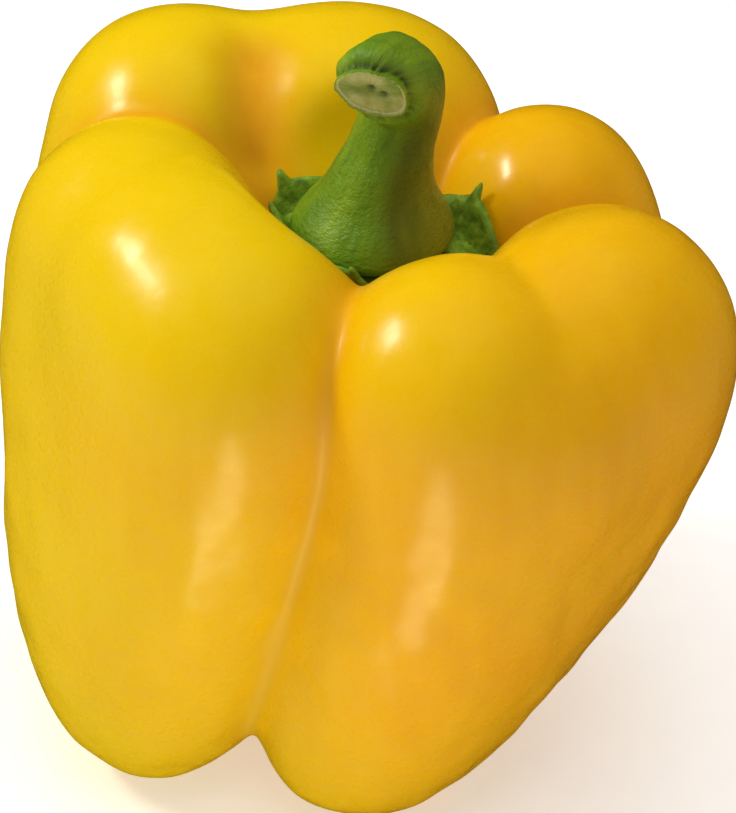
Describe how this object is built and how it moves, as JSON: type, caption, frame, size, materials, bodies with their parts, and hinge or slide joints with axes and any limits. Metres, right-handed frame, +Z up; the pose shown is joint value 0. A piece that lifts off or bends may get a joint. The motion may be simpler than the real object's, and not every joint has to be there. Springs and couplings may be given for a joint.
{
  "type": "bell pepper",
  "caption": "Blocky yellow bell pepper: a lobed waxy fruit with deep creases, a green calyx in the hollow on top and a thick bent stem with a slanting cut end.",
  "frame": {"origin": "centre of the bounding box at its base, on the surface that the fruit's feet stand on", "axes": "+Z up from the feet to the stem; -Y faces the side with the long front crease; +X is to the right of that side"},
  "size_m": [0.0905, 0.0852, 0.0994],
  "materials": {
    "skin": "smooth waxy pepper skin, glossy, yellow shading to orange in the creases",
    "calyx": "dark green leathery calyx, satin",
    "stem": "green stem, satin, with a pale cut end"
  },
  "bodies": {
    "root": {"fruit": "skin", "calyx": "calyx", "stem": "stem"}
  },
  "joints": []
}
